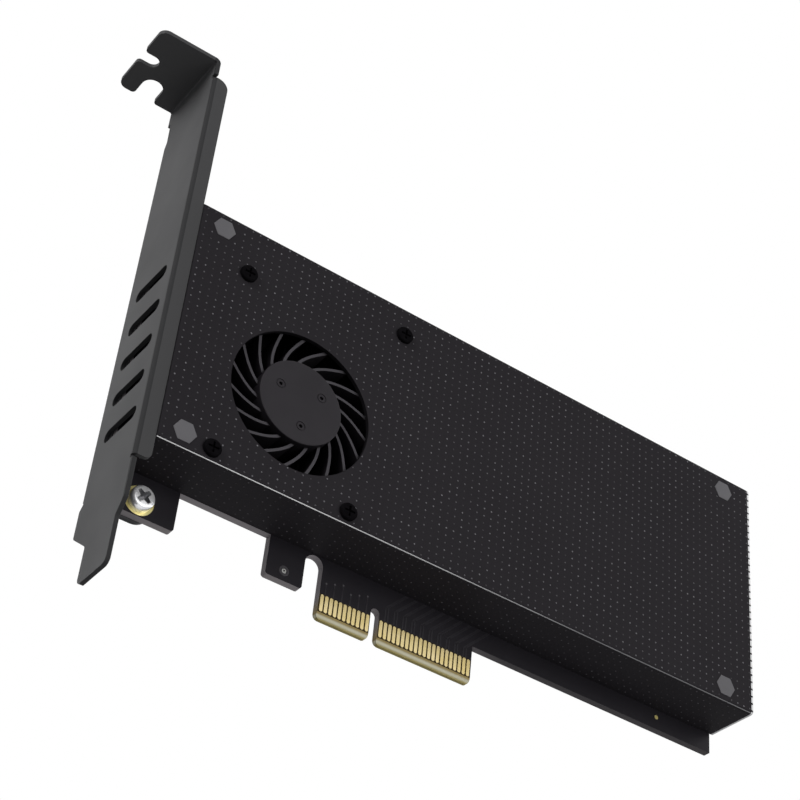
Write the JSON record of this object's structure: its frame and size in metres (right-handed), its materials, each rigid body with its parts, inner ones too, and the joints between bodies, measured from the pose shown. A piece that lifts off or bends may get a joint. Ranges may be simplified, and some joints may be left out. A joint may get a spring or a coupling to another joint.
{
  "type": "nvme adapter card",
  "caption": "Expansion card that carries a storage module under a folded sheet cover with a small centrifugal blower, on a full-height slot bracket.",
  "frame": {"origin": "middle of the key slot at the lower edge of the gold contacts, on the middle plane of the circuit board", "axes": "+Z from the contacts up, +X from the slot bracket to the far end, -Y out of the component side with its cover"},
  "size_m": [0.153, 0.0196, 0.118],
  "materials": {
    "solder_mask_board": "semi-gloss solder mask",
    "gold_plating": "polished plating",
    "black_coated_steel": "fine matt coating",
    "bright_steel": "nickel plated",
    "black_anodised_sheet": "matt, dotted",
    "grey_aluminium": "dull",
    "black_zinc_steel": "satin",
    "black_moulding": "moulded",
    "dark_grey_moulding": "moulded",
    "bonded_ferrite": "matt",
    "lamination_steel": "rolled",
    "enamelled_copper": "enamelled wire",
    "sintered_bronze": "sintered",
    "black_wire_sleeve": "extruded",
    "ivory_moulding": "moulded",
    "tinned_brass": "tinned",
    "chip_epoxy": "moulded epoxy",
    "can_aluminium": "drawn can",
    "tan_ceramic": "fired ceramic",
    "led_lens": "clear resin"
  },
  "bodies": {
    "card": {"circuit_board": "solder_mask_board", "edge_contacts_front": "gold_plating", "edge_contacts_back": "gold_plating", "plated_pads": "gold_plating", "slot_bracket": "black_coated_steel", "bracket_screws": "bright_steel", "fan_cover": "black_anodised_sheet", "cover_standoffs": "grey_aluminium", "standoff_screws": "black_zinc_steel", "blower_housing": "black_moulding", "stator_core": "lamination_steel", "stator_coils": "enamelled_copper", "bearing_sleeve": "sintered_bronze", "motor_board": "solder_mask_board", "fan_screws": "black_zinc_steel", "fan_lead": "black_wire_sleeve", "fan_plug": "ivory_moulding", "fan_header": "ivory_moulding", "header_pins": "tinned_brass", "ssd_socket": "black_moulding", "socket_tails": "tinned_brass", "ssd_posts": "tinned_brass", "ssd_screw": "bright_steel", "voltage_regulator": "chip_epoxy", "power_inductor": "bonded_ferrite", "bulk_capacitors": "can_aluminium", "capacitor_bases": "chip_epoxy", "small_capacitors": "tan_ceramic", "small_resistors": "chip_epoxy", "status_leds": "led_lens"},
    "rotor": {"impeller": "dark_grey_moulding", "rotor_shaft": "bright_steel", "rotor_magnet": "bonded_ferrite"}
  },
  "joints": [
    {"name": "fan_spin", "type": "hinge", "parent": "card", "child": "rotor", "pos_m": [-0.028, -0.0085, 0.03355], "axis": [0, 1, 0], "continuous": true}
  ]
}
